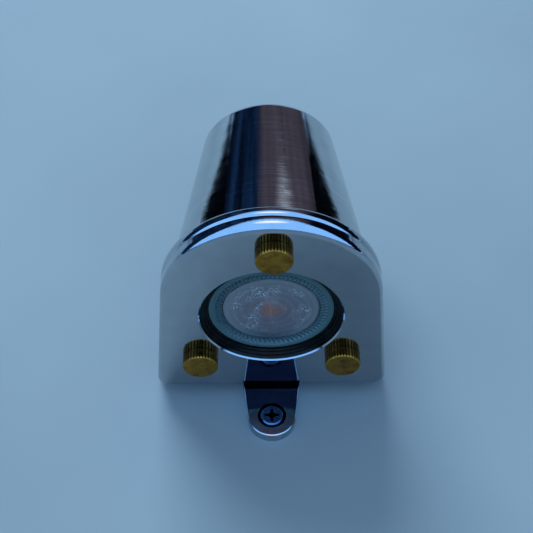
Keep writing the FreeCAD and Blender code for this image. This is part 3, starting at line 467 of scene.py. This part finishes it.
# %% Turned brass
RING_TURN = math.pi / 10  # Blender's ring wave repeats each 2 pi / 20 of its own space
FACING_PITCH = 0.4 * MM
STAINS = 260.0  # per metre: tarnish in patches of 4 mm
PITS = 1400.0  # per metre: a grain of 0.7 mm; the real pits are finer than can show
KNURL_SHADE_START = 0.5 * MM
KNURL_SHADE_END = 1.4 * MM


def turned_brass(name, node, pitch):
    """Brass with lathe rings round an axis along Y, and painted shade on the knurling behind the face.
    """
    material, tree, shader = new_material(name, "#8f7a3c", 0.30, 1.0)
    axis, face = middle(node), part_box(node)[0].y
    centred = object_space(tree, (1, 1, 1), (-axis.x, 0, -axis.z))
    rings = add_node(tree, "TexWave", {"wave_type": "RINGS", "rings_direction": "Y"}, {
        "Vector": centred, "Scale": RING_TURN / pitch, "Distortion": 0.4, "Detail": 1.0})
    stain = add_node(tree, "TexNoise", inputs={
        "Vector": object_space(tree), "Scale": STAINS, "Detail": 4.0, "Roughness": 0.6}).outputs["Fac"]
    colour = add_node(tree, "Mix", COLOURS, {
        "Factor": add_node(tree, "MapRange", inputs={
            "Value": stain, "From Min": 0.42, "From Max": 0.68}).outputs["Result"],
        FIRST: "#bd8634", SECOND: "#7a5320"}).outputs[MIXED]
    # Painted shade: darker from half a millimetre behind the face backwards, for the shade in the
    # knurling.
    back = add_node(tree, "SeparateXYZ", {}, {"Vector": object_space(tree)}).outputs["Y"]
    painted_shade = add_node(tree, "MapRange", inputs={
        "Value": back, "From Min": face + KNURL_SHADE_START, "From Max": face + KNURL_SHADE_END,
        "To Max": 0.6}).outputs["Result"]
    colour = add_node(tree, "Mix", COLOURS, {
        "Factor": painted_shade, FIRST: colour, SECOND: "#3a2c16"}).outputs[MIXED]
    tree.links.new(colour, shader.inputs["Base Color"])
    tree.links.new(
        add_node(tree, "MapRange", inputs={
            "Value": stain, "From Min": 0.35, "From Max": 0.7, "To Min": 0.24,
            "To Max": 0.48}).outputs["Result"],
        shader.inputs["Roughness"])
    pits = add_node(tree, "Bump", inputs={
        "Height": add_node(tree, "TexNoise", inputs={
            "Vector": object_space(tree), "Scale": PITS}).outputs["Fac"],
        "Distance": 0.008 * MM}).outputs["Normal"]
    relief = add_node(tree, "Bump", inputs={
        "Height": rings.outputs["Fac"], "Distance": 0.012 * MM, "Normal": pits}).outputs["Normal"]
    tree.links.new(relief, shader.inputs["Normal"])
    return material


for place in ("top", "left", "right"):
    knob = f"thumb_screw_{place}"
    finish_node(knob, turned_brass(f"turned_brass_{place}", knob, FACING_PITCH))
finish_node("earth_screw", turned_brass("turned_brass_earth", "earth_screw", FACING_PITCH))
print("brass on four screws")

# %% [markdown]
# ## Moulded rubber
# The lamp's ring, the gasket, the washers and the grommet are black rubber. Rubber from a
# mould has a faint skin gloss over a fine grain, and dust greys it a little.

# %% Moulded rubber
RUBBER_GRAIN = 1100.0  # per metre: spark-eroded moulds leave 0.1 mm, drawn as 0.9 mm to show
DUST = 140.0  # per metre: dust in patches of 7 mm


def moulded_rubber(name, colour, roughness):
    material, tree, shader = new_material(name, colour, roughness)
    shader.inputs["Specular IOR Level"].default_value = 0.2
    grain = add_node(tree, "TexNoise", inputs={
        "Vector": object_space(tree), "Scale": RUBBER_GRAIN, "Detail": 3.0}).outputs["Fac"]
    dust = add_node(tree, "TexNoise", inputs={
        "Vector": object_space(tree), "Scale": DUST, "Detail": 4.0, "Roughness": 0.6}).outputs["Fac"]
    dusty = add_node(tree, "Mix", COLOURS, {
        "Factor": add_node(tree, "MapRange", inputs={
            "Value": dust, "From Min": 0.5, "From Max": 0.8}).outputs["Result"],
        FIRST: colour, SECOND: "#141513"}).outputs[MIXED]
    tree.links.new(dusty, shader.inputs["Base Color"])
    tree.links.new(
        add_node(tree, "Bump", inputs={"Height": grain, "Distance": 0.008 * MM}).outputs["Normal"],
        shader.inputs["Normal"])
    return material


seal_rubber = moulded_rubber("moulded_seal_rubber", "#030303", 0.20)
sheet_rubber = moulded_rubber("cut_sheet_rubber", "#0a0a0a", 0.62)
for name in ("lamp_seal", "screw_washer_top", "screw_washer_left", "screw_washer_right"):
    finish_node(name, seal_rubber)
for name in ("cover_gasket", "cable_grommet"):
    finish_node(name, sheet_rubber)
print("rubber on six nodes")

# %% [markdown]
# ## Plated metals
# The steel screws and the bracket are plated: zinc leaves a bluish grey with a soft grain,
# nickel is warmer and smoother, and the contacts are drawn brass strip.

# %% Plated metals
def plated_metal(name, colour, stain_colour, roughness, grain_per_metre):
    material, tree, shader = new_material(name, colour, roughness, 1.0)
    grain = add_node(tree, "TexNoise", inputs={
        "Vector": object_space(tree), "Scale": grain_per_metre, "Detail": 3.0}).outputs["Fac"]
    patch = add_node(tree, "TexNoise", inputs={
        "Vector": object_space(tree), "Scale": grain_per_metre / 6}).outputs["Fac"]
    tone = add_node(tree, "Mix", COLOURS, {
        "Factor": add_node(tree, "MapRange", inputs={
            "Value": patch, "From Min": 0.4, "From Max": 0.7}).outputs["Result"],
        FIRST: colour, SECOND: stain_colour}).outputs[MIXED]
    tree.links.new(tone, shader.inputs["Base Color"])
    tree.links.new(
        add_node(tree, "MapRange", inputs={
            "Value": grain, "From Min": 0.3, "From Max": 0.7, "To Min": roughness * 0.8,
            "To Max": roughness * 1.3}).outputs["Result"],
        shader.inputs["Roughness"])
    tree.links.new(
        add_node(tree, "Bump", inputs={"Height": grain, "Distance": 0.006 * MM}).outputs["Normal"],
        shader.inputs["Normal"])
    return material


metals = {
    ("zinc_plated_steel", "#8ba6c8", "#6d86a8", 0.20, 900.0): (
        "bracket_screws", "holder_screws", "terminal_screws"),
    ("zinc_plated_wall_screw", "#5f80ad", "#46658f", 0.24, 900.0): ("wall_screws",),
    ("galvanised_sheet", "#a8adb2", "#868c92", 0.36, 260.0): ("holder_bracket",),
    ("nickel_plated_brass", "#b9b6ad", "#a19c90", 0.22, 900.0): ("lamp_pins",),
    ("drawn_brass_strip", "#b9964c", "#94763a", 0.28, 700.0): (
        "lampholder_contacts", "terminal_sleeves"),
    ("tinned_copper", "#b4b5b3", "#98988f", 0.33, 700.0): ("earth_tag",),
}
for recipe, names in metals.items():
    metal = plated_metal(*recipe)
    for name in names:
        finish_node(name, metal)
print(f"{len(metals)} plated metals")

# %% Painted shade in the wall screws' cross recess
DRIVE_REACH = 3.2 * MM
DRIVE_TOP = screws_high.z - 0.3 * MM
drive_tree = bpy.data.materials["zinc_plated_wall_screw"].node_tree
drive_shader = next(node for node in drive_tree.nodes if node.type == "BSDF_PRINCIPLED")
plating = drive_shader.inputs["Base Color"].links[0].from_socket
# Painted shade: the cross drive is darkened below the head's top, for the shade down in it.
painted_drive_shade = add_node(drive_tree, "Mix", COLOURS, {
    "Factor": recess_shade_mask(drive_tree, DRIVE_REACH, DRIVE_TOP), FIRST: plating,
    SECOND: "#05070b"}).outputs[MIXED]
drive_tree.links.new(painted_drive_shade, drive_shader.inputs["Base Color"])
print("grime in two cross recesses")

# %% [markdown]
# ## Ceramic, plastics and boards
# Steatite is glazed, nylon and the lamp's base are moulded, the boards are glass fibre
# under a coloured lacquer, and the leads have soft extruded sleeves. All are insulators,
# so they differ in colour, gloss and the grain that their making leaves.

# %% Insulators
def insulator(name, colour, worn_colour, roughness, grain_per_metre, grain_depth, **sockets):
    material, tree, shader = new_material(name, colour, roughness, **sockets)
    grain = add_node(tree, "TexNoise", inputs={
        "Vector": object_space(tree), "Scale": grain_per_metre, "Detail": 3.0}).outputs["Fac"]
    wear = add_node(tree, "TexNoise", inputs={
        "Vector": object_space(tree), "Scale": grain_per_metre / 9, "Detail": 3.0}).outputs["Fac"]
    tone = add_node(tree, "Mix", COLOURS, {
        "Factor": add_node(tree, "MapRange", inputs={
            "Value": wear, "From Min": 0.45, "From Max": 0.75}).outputs["Result"],
        FIRST: colour, SECOND: worn_colour}).outputs[MIXED]
    tree.links.new(tone, shader.inputs["Base Color"])
    tree.links.new(
        add_node(tree, "Bump", inputs={"Height": grain, "Distance": grain_depth}).outputs["Normal"],
        shader.inputs["Normal"])
    return material


GLAZE = {"Coat Weight": 0.8, "Coat Roughness": 0.08}
insulators = {
    "lampholder": ("glazed_steatite", "#e6e0d2", "#d4ccb9", 0.35, 500.0, 0.02 * MM, GLAZE),
    "terminal_block": ("moulded_nylon", "#dddcd2", "#cbc9bc", 0.45, 1200.0, 0.01 * MM, {}),
    "lamp_base": ("moulded_lamp_base", "#e2e2dd", "#cfcfc8", 0.4, 1200.0, 0.01 * MM, {}),
    "lamp_chip_board": ("white_lacquered_board", "#dcdcd6", "#c9c8bf", 0.3, 900.0, 0.005 * MM, {}),
    "lamp_driver_board": ("green_lacquered_board", "#1f5a34", "#174526", 0.3, 900.0, 0.01 * MM, {}),
    "lead_live": ("extruded_brown_sleeve", "#5a3320", "#4a2818", 0.4, 1500.0, 0.01 * MM, {}),
    "lead_neutral": ("extruded_blue_sleeve", "#1d4f9c", "#173f80", 0.4, 1500.0, 0.01 * MM, {}),
}
for name, (*recipe, extra) in insulators.items():
    finish_node(name, insulator(*recipe, **extra))
print(f"{len(insulators)} insulators")

# %% [markdown]
# ## The earth lead's two colours
# An earth wire is green with a yellow stripe that winds round it as it leaves the
# extruder. Slanting bands, 2 mm from one to the next, stand for that stripe.

# %% Green and yellow sleeve
def striped_sleeve(name, pitch):
    material, tree, shader = new_material(name, "#3f8f3a", 0.4)
    bands = add_node(tree, "TexWave", {"wave_type": "BANDS", "bands_direction": "DIAGONAL"}, {
        "Vector": object_space(tree), "Scale": RING_TURN / pitch})
    stripe = add_node(tree, "MapRange", inputs={
        "Value": bands.outputs["Fac"], "From Min": 0.45, "From Max": 0.55}).outputs["Result"]
    tree.links.new(
        add_node(tree, "Mix", COLOURS, {
            "Factor": stripe, FIRST: "#2f7d33", SECOND: "#d8c832"}).outputs[MIXED],
        shader.inputs["Base Color"])
    return material


finish_node("lead_earth", striped_sleeve("extruded_earth_sleeve", 2.0 * MM))
print("earth lead striped")

# %% [markdown]
# ## Phosphor on the chips
# Each chip is a blue emitter under a lump of yellow-orange phosphor. Unlit, it is the one
# warm spot behind the lens, so it gets a saturated colour and a trace of its own light.

# %% Phosphor
SPECKS = 2400.0  # per metre: specks of 0.4 mm; the real powder is far too fine to show


def phosphor(name):
    material, tree, shader = new_material(name, "#e08a3c", 0.55)
    speck = add_node(tree, "TexNoise", inputs={
        "Vector": object_space(tree), "Scale": SPECKS}).outputs["Fac"]
    tree.links.new(
        add_node(tree, "Mix", COLOURS, {
            "Factor": add_node(tree, "MapRange", inputs={
                "Value": speck, "From Min": 0.3, "From Max": 0.7}).outputs["Result"],
            FIRST: "#d9772c", SECOND: "#eaa24e"}).outputs[MIXED],
        shader.inputs["Base Color"])
    shader.inputs["Emission Color"].default_value = linear("#ff7a3a")
    shader.inputs["Emission Strength"].default_value = 0.25
    return material


finish_node("lamp_chips", phosphor("silicone_phosphor"))
print("chips")

# %% [markdown]
# ## The glass cup
# The lamp's cup is pressed glass. Its face is a smooth flat rim, and inside it a belt of
# small square flutes that the mould presses in two rows; the outside carries long flutes
# down to the neck. CAD keeps the plain cup, so the fluted one is spun here: one profile of
# radius and depth, turned round the lamp's axis, with the flutes added as real relief.

# %% Spin a profile round the lamp's axis
def spin(name, profile, segments, relief=None, closed=True):
    """Turn (radius, y) points round the lamp's axis; relief(i, angle) moves point i back."""
    verts, faces = [], []
    rows = len(profile)
    for i, (radius, y) in enumerate(profile):
        for step in range(segments):
            angle = 2 * math.pi * step / segments
            shift = relief(i, angle) if relief else 0.0
            verts.append((lamp_axis.x + radius * math.cos(angle), y + shift,
                          lamp_axis.z + radius * math.sin(angle)))
    for i in range(rows if closed else rows - 1):
        for step in range(segments):
            after = (step + 1) % segments
            a, b = i * segments, ((i + 1) % rows) * segments
            faces.append((a + step, a + after, b + after, b + step))
    mesh = bpy.data.meshes.new(name)
    mesh.from_pydata(verts, [], faces)
    mesh.update()
    mesh.shade_smooth()
    piece = bpy.data.objects.new(name, mesh)
    bpy.context.scene.collection.objects.link(piece)
    return piece


def arc_points(start, end, bulge, count):
    """Points from start to end, bowed sideways by bulge, without the end point."""
    (r0, y0), (r1, y1) = start, end
    length = math.hypot(r1 - r0, y1 - y0)
    out = (-(y1 - y0) / length, (r1 - r0) / length)
    points = []
    for step in range(count):
        t = step / count
        bow = bulge * 4 * t * (1 - t)
        points.append((r0 + (r1 - r0) * t + out[0] * bow, y0 + (y1 - y0) * t + out[1] * bow))
    return points


# %% Build the fluted cup
def polar(tree):
    """Radius and angle round the lamp's axis, in metres and radians."""
    place = object_space(tree, (1, 1, 1), (-lamp_axis.x, 0, -lamp_axis.z))
    split = add_node(tree, "SeparateXYZ", {}, {"Vector": place})
    across, up = split.outputs["X"], split.outputs["Z"]
    flat = add_node(tree, "CombineXYZ", {}, {"X": across, "Z": up}).outputs[0]
    radius = add_node(tree, "VectorMath", {"operation": "LENGTH"}, {0: flat}).outputs["Value"]
    angle = add_node(tree, "Math", {"operation": "ARCTAN2"}, {0: up, 1: across}).outputs[0]
    return radius, angle


def wave(tree, value, count):
    """A sine of value times count, between -1 and 1."""
    turned = add_node(tree, "Math", {"operation": "MULTIPLY"}, {0: value, 1: count}).outputs[0]
    return add_node(tree, "Math", {"operation": "SINE"}, {0: turned}).outputs[0]


FLUTES = 72
CUP_SEGMENTS = FLUTES * 6
FLUTE_DEPTH = 0.45 * MM
RIM_WIDTH = 2.4 * MM
FLUTE_ROW = 1.5 * MM
CUP_WALL = 1.6 * MM
WALL_BOW = 2.2 * MM


def build_cup():
    front, neck_y = cup_low.y, cup_high.y
    outer, lens = cup_radius, lens_radius
    belt_out = outer - RIM_WIDTH
    belt_mid, belt_in = belt_out - FLUTE_ROW, lens + 0.35 * MM
    neck = middle("lamp_base").x + (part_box("lamp_base")[1].x - lamp_axis.x)
    wall, seat = CUP_WALL, lens_high.y + 0.15 * MM
    face = [(outer - 0.5 * MM, front), (belt_out, front)]
    upper_row = [(belt_out - 0.15 * MM, front + 0.25 * MM), (belt_mid + 0.15 * MM, front + 0.35 * MM)]
    lower_row = [(belt_mid, front + 0.6 * MM), (belt_in + 0.15 * MM, front + 0.75 * MM)]
    inside = [(belt_in, front + 0.5 * MM), (belt_in, seat), (belt_in - wall, seat),
              (belt_in - wall, seat + wall)]
    inner_wall = arc_points((outer - 2 * wall, seat + wall + 0.2 * MM), (neck - wall, neck_y - 0.1 * MM),
                            -WALL_BOW, 14)
    outer_wall = arc_points((neck, neck_y), (outer - 0.15 * MM, front + 3.1 * MM), WALL_BOW, 16)
    rim = [(outer - 0.02 * MM, front + 3.0 * MM), (outer, front + 2.6 * MM),
           (outer, front + 0.7 * MM), (outer - 0.15 * MM, front + 0.2 * MM)]
    profile = face + upper_row + lower_row + inside + inner_wall + [(neck - wall, neck_y)]
    first_outer = len(profile)
    profile += outer_wall + rim
    upper, lower = range(2, 4), range(4, 6)
    flank = range(first_outer + 2, first_outer + len(outer_wall))

    def relief(i, angle):
        swell = 0.5 - 0.5 * math.cos(FLUTES * angle)
        if i in lower:
            return FLUTE_DEPTH * (1 - swell)
        if i in upper or i in flank:
            return FLUTE_DEPTH * swell
        return 0.0

    cup = spin("lamp_glass_cup", profile, CUP_SEGMENTS, relief)
    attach(cup, "lamp")
    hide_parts("lamp_reflector")
    return cup


GLASS_WAVES = 300.0  # per metre: the mould's unevenness, one wave in 3 mm


def pressed_glass(name):
    """Greenish soda glass, clear at the rim, with painted light and shade in alternating blocks over the
    flutes.
    """
    material, tree, shader = new_material(name, "#7fa8a2", 0.05)
    shader.inputs["IOR"].default_value = 1.52
    shader.inputs["Transmission Weight"].default_value = 0.45
    radius, angle = polar(tree)
    # Painted light and shade: one darker and one lighter block in turn over each flute and row of the
    # belt.
    rows = wave(tree, radius, 2 * math.pi / (2 * FLUTE_ROW))
    flute_light_and_shade = add_node(tree, "Math", {"operation": "MULTIPLY"}, {
        0: wave(tree, angle, FLUTES), 1: rows}).outputs[0]
    belt_edge = cup_radius - RIM_WIDTH
    in_belt = add_node(tree, "MapRange", inputs={
        "Value": radius, "From Min": belt_edge - 0.2 * MM, "From Max": belt_edge + 0.2 * MM,
        "To Min": 1.0, "To Max": 0.0}).outputs["Result"]
    flute_light_and_shade = add_node(tree, "Mix", COLOURS, {
        "Factor": add_node(tree, "MapRange", inputs={
            "Value": flute_light_and_shade, "From Min": -0.5, "From Max": 0.5}).outputs["Result"],
        FIRST: "#3c5f63", SECOND: "#6f989c"}).outputs[MIXED]
    tree.links.new(
        add_node(tree, "Mix", COLOURS, {
            "Factor": in_belt, FIRST: "#688f8e", SECOND: flute_light_and_shade}).outputs[MIXED],
        shader.inputs["Base Color"])
    seeds = add_node(tree, "TexNoise", inputs={
        "Vector": object_space(tree), "Scale": GLASS_WAVES}).outputs["Fac"]
    tree.links.new(
        add_node(tree, "Bump", inputs={"Height": seeds, "Distance": 0.01 * MM}).outputs["Normal"],
        shader.inputs["Normal"])
    return material


cup = build_cup()
cup.data.materials.append(pressed_glass("pressed_soda_glass"))
print(f"cup: {len(cup.data.polygons)} faces, {FLUTES} flutes")

# %% [markdown]
# ## The micro-lens
# The lens is clear plastic moulded with rings of tiny domes that spread the beam, and a
# belt of fine radial ribs at its edge. Each ring gets as many domes as fit round it, so
# all of them are about as wide as the rings are apart. They are real relief. The
# brightest flecks, painted glints that stand for the facets' highlights, and the warm
# spot of the chips are not: they are painted in the material, and follow neither the
# domes nor the chips behind.

# %% Build the lens
DOME_PITCH = 0.95 * MM
DOME_HEIGHT = 0.22 * MM
RIB_COUNT = 150
RINGS_PER_DOME = 4
LENS_SEGMENTS = 480
RIB_START = 0.76


def lens_relief(radius, angle):
    """How far the front face stands forward at one place."""
    if radius > lens_radius * 0.975:
        return 0.0
    if radius > lens_radius * RIB_START:
        return DOME_HEIGHT / 2 * (0.5 + 0.5 * math.cos(RIB_COUNT * angle))
    ring = max(1, round(radius / DOME_PITCH))
    domes = round(2 * math.pi * ring)
    across = math.cos(2 * math.pi * (radius / DOME_PITCH - ring))
    along = math.cos(domes * angle + math.pi * (ring % 2))
    return DOME_HEIGHT * (0.5 + 0.5 * across) * (0.5 + 0.5 * along)


def build_lens():
    front, back = lens_low.y, lens_high.y
    crown = 0.3 * MM
    edge = lens_radius - 0.02 * MM
    rings = int(edge / DOME_PITCH * RINGS_PER_DOME)
    radii = [edge * (ring + 0.02) / rings for ring in range(rings)] + [edge]
    profile = [(r, front + 0.25 * MM + crown * (r / edge) ** 2) for r in radii]
    face_rows = len(profile)
    profile += [(edge, back - 0.1 * MM), (edge - 0.1 * MM, back)]
    profile += [(edge * share, back) for share in (0.8, 0.6, 0.4, 0.2, 0.001)]

    def relief(i, angle):
        return -lens_relief(profile[i][0], angle) if i < face_rows else 0.0

    lens = spin("lamp_micro_lens", profile, LENS_SEGMENTS, relief, closed=False)
    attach(lens, "lamp")
    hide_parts("lamp_lens")
    return lens


LENS_CLOUDS = 260.0  # per metre: unevenness of 4 mm
# The flecks are painted glints: near-white metal in the colour, for the highlights of the real lens's
# facets.
GLINT_GROUPS = 110.0  # per metre: flecks come in groups of 9 mm
GLINT_RINGS = 1500.0  # per metre outwards, 0.7 mm apart, near the pitch of the domes
GLINT_SPOKES = 9.0  # per radian
SHADE_RINGS = 3.1 * MM
WARM_SPOT = (5.5 * MM, 9.5 * MM)
GLINT_ZONE = (3.5 * MM, 5.5 * MM, 14.5 * MM, 17 * MM)


def moulded_lens(name):
    """Acrylic over a frosted back, with a painted warm spot for the chips and painted glints."""
    material, tree, shader = new_material(name, "#7f8896", 0.06)
    shader.inputs["IOR"].default_value = 1.49
    shader.inputs["Transmission Weight"].default_value = 0.30
    radius, angle = polar(tree)
    cloud = add_node(tree, "TexNoise", inputs={
        "Vector": object_space(tree), "Scale": LENS_CLOUDS}).outputs["Fac"]
    warm_edge = add_node(tree, "Math", {"operation": "MULTIPLY_ADD"}, {
        0: cloud, 1: 7 * MM, 2: radius}).outputs[0]
    warm = add_node(tree, "MapRange", inputs={
        "Value": warm_edge, "From Min": WARM_SPOT[0], "From Max": WARM_SPOT[1], "To Min": 1.0,
        "To Max": 0.0}).outputs["Result"]
    rings = wave(tree, radius, 2 * math.pi / SHADE_RINGS)
    cool = add_node(tree, "Mix", COLOURS, {
        "Factor": add_node(tree, "MapRange", inputs={
            "Value": radius, "From Min": 6 * MM, "From Max": 17 * MM}).outputs["Result"],
        FIRST: "#7c7078", SECOND: "#6f7d85"}).outputs[MIXED]
    cool = add_node(tree, "Mix", COLOURS, {
        "Factor": add_node(tree, "MapRange", inputs={
            "Value": rings, "From Min": -0.4, "From Max": 0.9, "To Max": 0.25}).outputs["Result"],
        FIRST: cool, SECOND: "#3d4654"}).outputs[MIXED]
    edge = add_node(tree, "MapRange", inputs={
        "Value": radius, "From Min": lens_radius * 0.955, "From Max": lens_radius * 0.975,
        "To Max": 0.8}).outputs["Result"]
    tint = add_node(tree, "Mix", COLOURS, {
        "Factor": edge,
        FIRST: add_node(tree, "Mix", COLOURS, {
            "Factor": warm, FIRST: cool, SECOND: "#b06a55"}).outputs[MIXED],
        SECOND: "#1d2b2f"}).outputs[MIXED]
    # Painted glints: bright metallic flecks in arcs over the domed zone.
    outwards = add_node(tree, "Math", {"operation": "MULTIPLY"}, {0: radius, 1: GLINT_RINGS})
    around = add_node(tree, "Math", {"operation": "MULTIPLY"}, {0: angle, 1: GLINT_SPOKES})
    round_the_axis = add_node(tree, "CombineXYZ", {}, {
        "X": outwards.outputs[0], "Y": around.outputs[0]}).outputs[0]
    glint_pattern = add_node(tree, "TexNoise", inputs={
        "Vector": round_the_axis, "Scale": 1.0, "Roughness": 0.6}).outputs["Fac"]
    arcs = add_node(tree, "TexNoise", inputs={
        "Vector": object_space(tree), "Scale": GLINT_GROUPS, "Detail": 1.0}).outputs["Fac"]
    painted_glint = add_node(tree, "Math", {"operation": "MULTIPLY"}, {
        0: add_node(tree, "MapRange", inputs={
            "Value": glint_pattern, "From Min": 0.5, "From Max": 0.6}).outputs["Result"],
        1: add_node(tree, "MapRange", inputs={
            "Value": arcs, "From Min": 0.44, "From Max": 0.56}).outputs["Result"]}).outputs[0]
    fade_in, full, fading, gone = GLINT_ZONE
    inner = add_node(tree, "MapRange", inputs={
        "Value": radius, "From Min": fade_in, "From Max": full}).outputs["Result"]
    outer = add_node(tree, "MapRange", inputs={
        "Value": radius, "From Min": fading, "From Max": gone, "To Min": 1.0,
        "To Max": 0.0}).outputs["Result"]
    zone = add_node(tree, "Math", {"operation": "MULTIPLY"}, {0: inner, 1: outer}).outputs[0]
    painted_glint = add_node(tree, "Math", {"operation": "MULTIPLY"}, {0: painted_glint, 1: zone}).outputs[0]
    tree.links.new(
        add_node(tree, "Mix", COLOURS, {
            "Factor": painted_glint, FIRST: tint, SECOND: "#f4f8ff"}).outputs[MIXED],
        shader.inputs["Base Color"])
    tree.links.new(painted_glint, shader.inputs["Metallic"])
    return material


lens = build_lens()
lens.data.materials.append(moulded_lens("moulded_acrylic_lens"))
print(f"lens: {len(lens.data.polygons)} faces")
